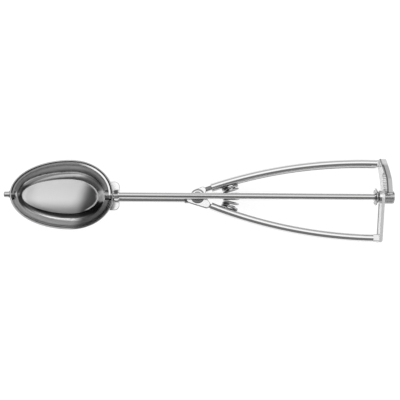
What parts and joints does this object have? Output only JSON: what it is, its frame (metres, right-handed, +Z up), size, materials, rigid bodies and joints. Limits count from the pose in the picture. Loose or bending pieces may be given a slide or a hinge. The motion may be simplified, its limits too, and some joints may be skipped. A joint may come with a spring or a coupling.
{
  "type": "lever ice cream scoop",
  "caption": "Lever ice cream scoop: squeezing a sprung handle drives a rack and pinion that turns a spindle and sweeps a wiper through an oval bowl.",
  "frame": {"origin": "on the surface under the bowl, below the middle of the scoop's length and width", "axes": "+X along the spindle from the bowl to the tail, +Y towards the lever handle, +Z up out of the bowl's mouth"},
  "size_m": [0.234, 0.0506, 0.0266],
  "materials": {
    "bowl_steel": "satin stainless steel, spun and polished",
    "grip_steel": "polished stainless steel sheet",
    "rod_steel": "polished stainless steel bar",
    "plate_steel": "stamped stainless steel plate",
    "spring_steel": "drawn stainless spring wire",
    "bush_steel": "turned stainless steel"
  },
  "bodies": {
    "frame": {"bowl": "bowl_steel", "bowl_bracket": "bowl_steel", "front_bush": "bush_steel", "shank": "rod_steel", "shank_ferrule": "bush_steel", "fixed_cheek_upper": "plate_steel", "fixed_cheek_lower": "plate_steel", "pivot_spacer": "plate_steel", "pivot_rivet": "plate_steel", "fixed_bar": "plate_steel", "fixed_grip": "grip_steel", "fixed_spring_seat": "plate_steel", "return_spring": "spring_steel", "tail_plate": "plate_steel", "tail_bush": "bush_steel"},
    "lever": {"lever_ear_upper": "plate_steel", "lever_ear_lower": "plate_steel", "lever_bar": "plate_steel", "lever_grip": "grip_steel", "lever_spring_seat": "plate_steel", "rack": "plate_steel"},
    "spindle": {"spindle_rod": "rod_steel", "wiper_blade": "bowl_steel", "wiper_hub": "rod_steel", "hub_pin": "rod_steel", "front_pin": "rod_steel", "front_washer": "rod_steel", "star_washer": "plate_steel", "spindle_collar": "rod_steel", "pinion": "plate_steel"}
  },
  "joints": [
    {"name": "lever_squeeze", "type": "hinge", "parent": "frame", "child": "lever", "pos_m": [-0.001, 0.00193, 0.0133], "axis": [0, 0, -1], "range_deg": [0, 5.27], "stiffness_Nm_per_rad": 8, "springref_deg": -8.02, "deforming": ["return_spring"]},
    {"name": "spindle_turn", "type": "hinge", "parent": "frame", "child": "spindle", "pos_m": [-0.001, 0.00193, 0.0208], "axis": [-1, 0, 0], "range_deg": [0, 172.1]}
  ],
  "couplings": [
    {"joint": "spindle_turn", "follows": "lever_squeeze", "ratio": 32.624}
  ]
}
